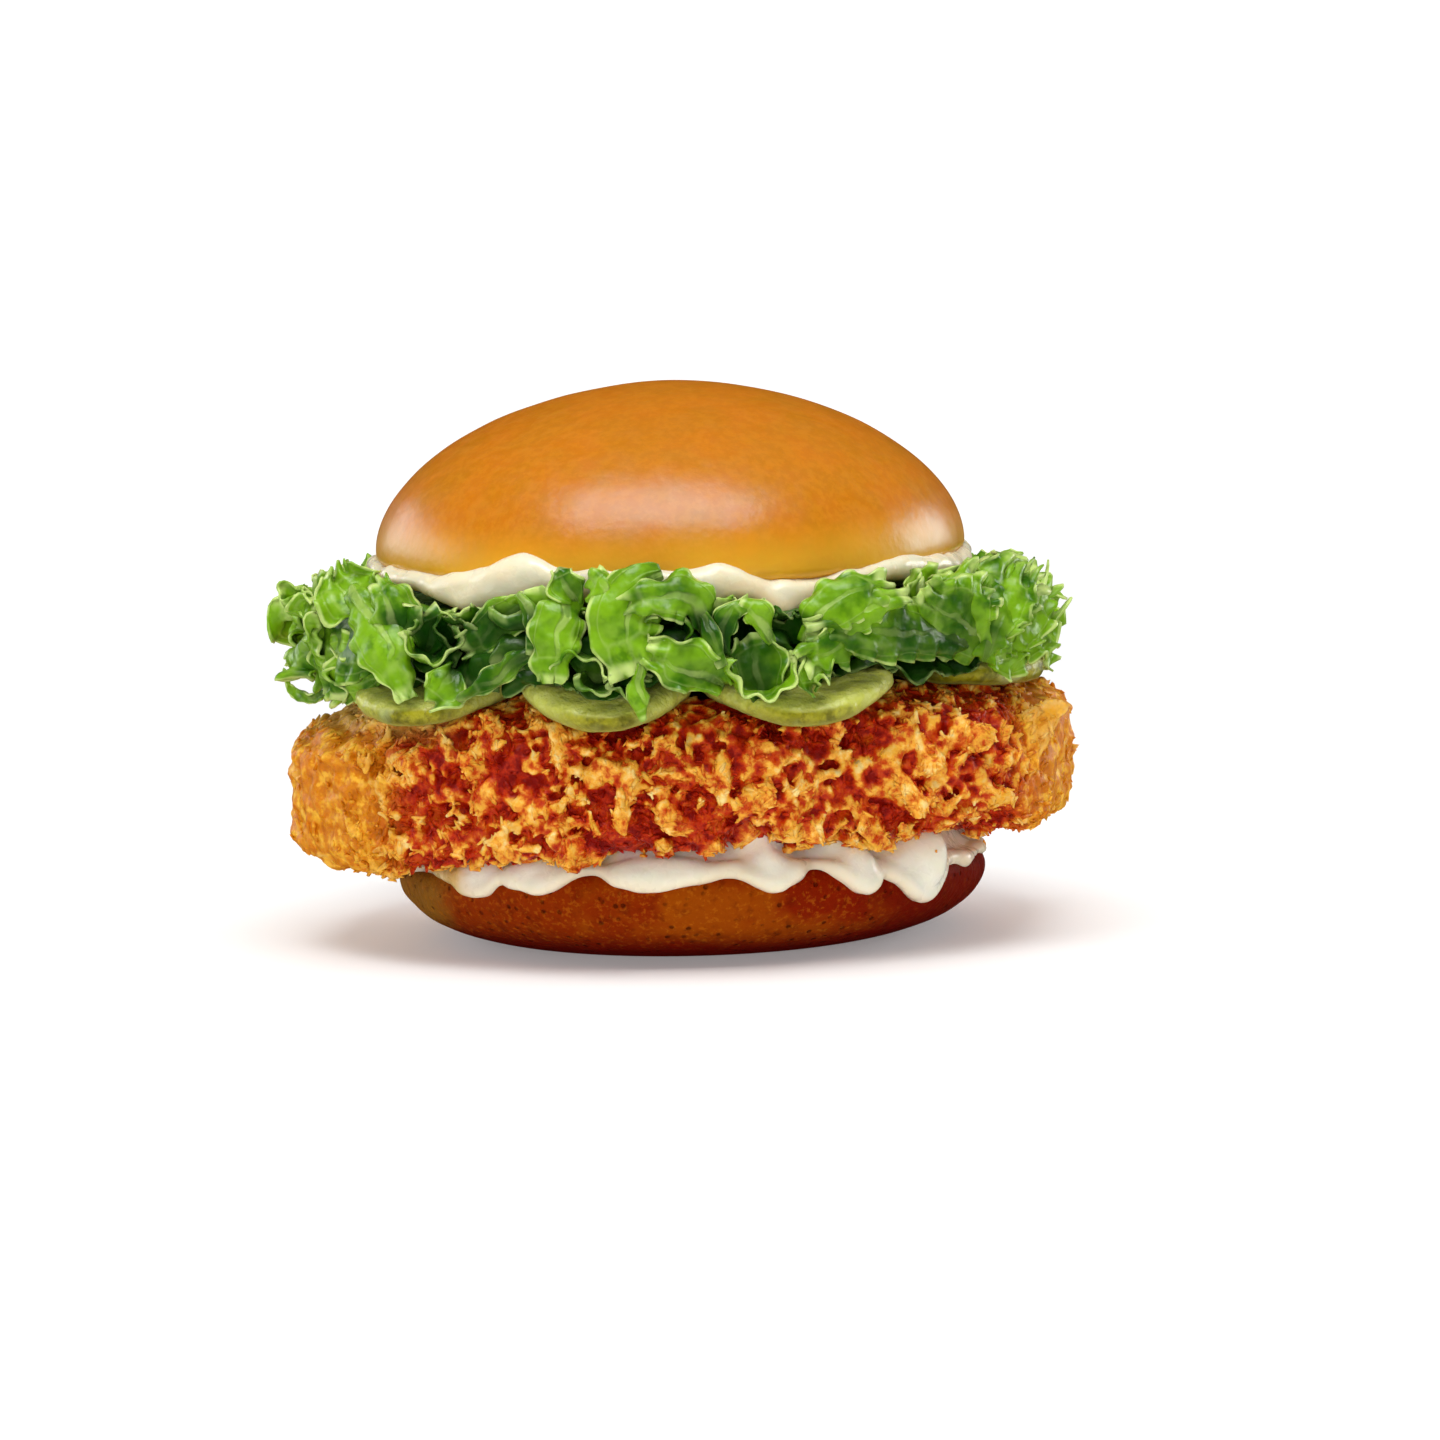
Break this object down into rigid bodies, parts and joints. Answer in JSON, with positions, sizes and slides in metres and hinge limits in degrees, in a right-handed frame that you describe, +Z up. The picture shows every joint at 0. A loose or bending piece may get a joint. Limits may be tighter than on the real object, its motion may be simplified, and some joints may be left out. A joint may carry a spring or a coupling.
{
  "type": "crispy chicken burger",
  "caption": "Burger of a glossy round bun, creamy sauce, frilly lettuce leaves and pickle slices over a thick crumbed fried fillet that overhangs the base.",
  "frame": {"origin": "on the surface the burger stands on, under the middle of its outer box", "axes": "+Z up, the side the picture shows faces -Y, +X to the viewer's right"},
  "size_m": [0.1354, 0.1258, 0.0925],
  "materials": {
    "crown_crust": "smooth glazed golden bun crust",
    "heel_crust": "browned bun base with fine pores",
    "sauce": "thick creamy sauce, satin",
    "fried_crumb": "craggy fried coating",
    "pickle": "wet cucumber slice",
    "lettuce": "waxy leaf"
  },
  "bodies": {
    "root": {"bun_heel": "heel_crust", "sauce_lower": "sauce", "fillet": "fried_crumb", "pickle_front_left": "pickle", "pickle_front_middle": "pickle", "pickle_front_right": "pickle", "pickle_right": "pickle", "pickle_back_right": "pickle", "pickle_back_middle": "pickle", "pickle_back_left": "pickle", "lettuce_right": "lettuce", "lettuce_back_right": "lettuce", "lettuce_back_left": "lettuce", "lettuce_left": "lettuce", "lettuce_front": "lettuce", "sauce_upper": "sauce", "bun_crown": "crown_crust"}
  },
  "joints": []
}
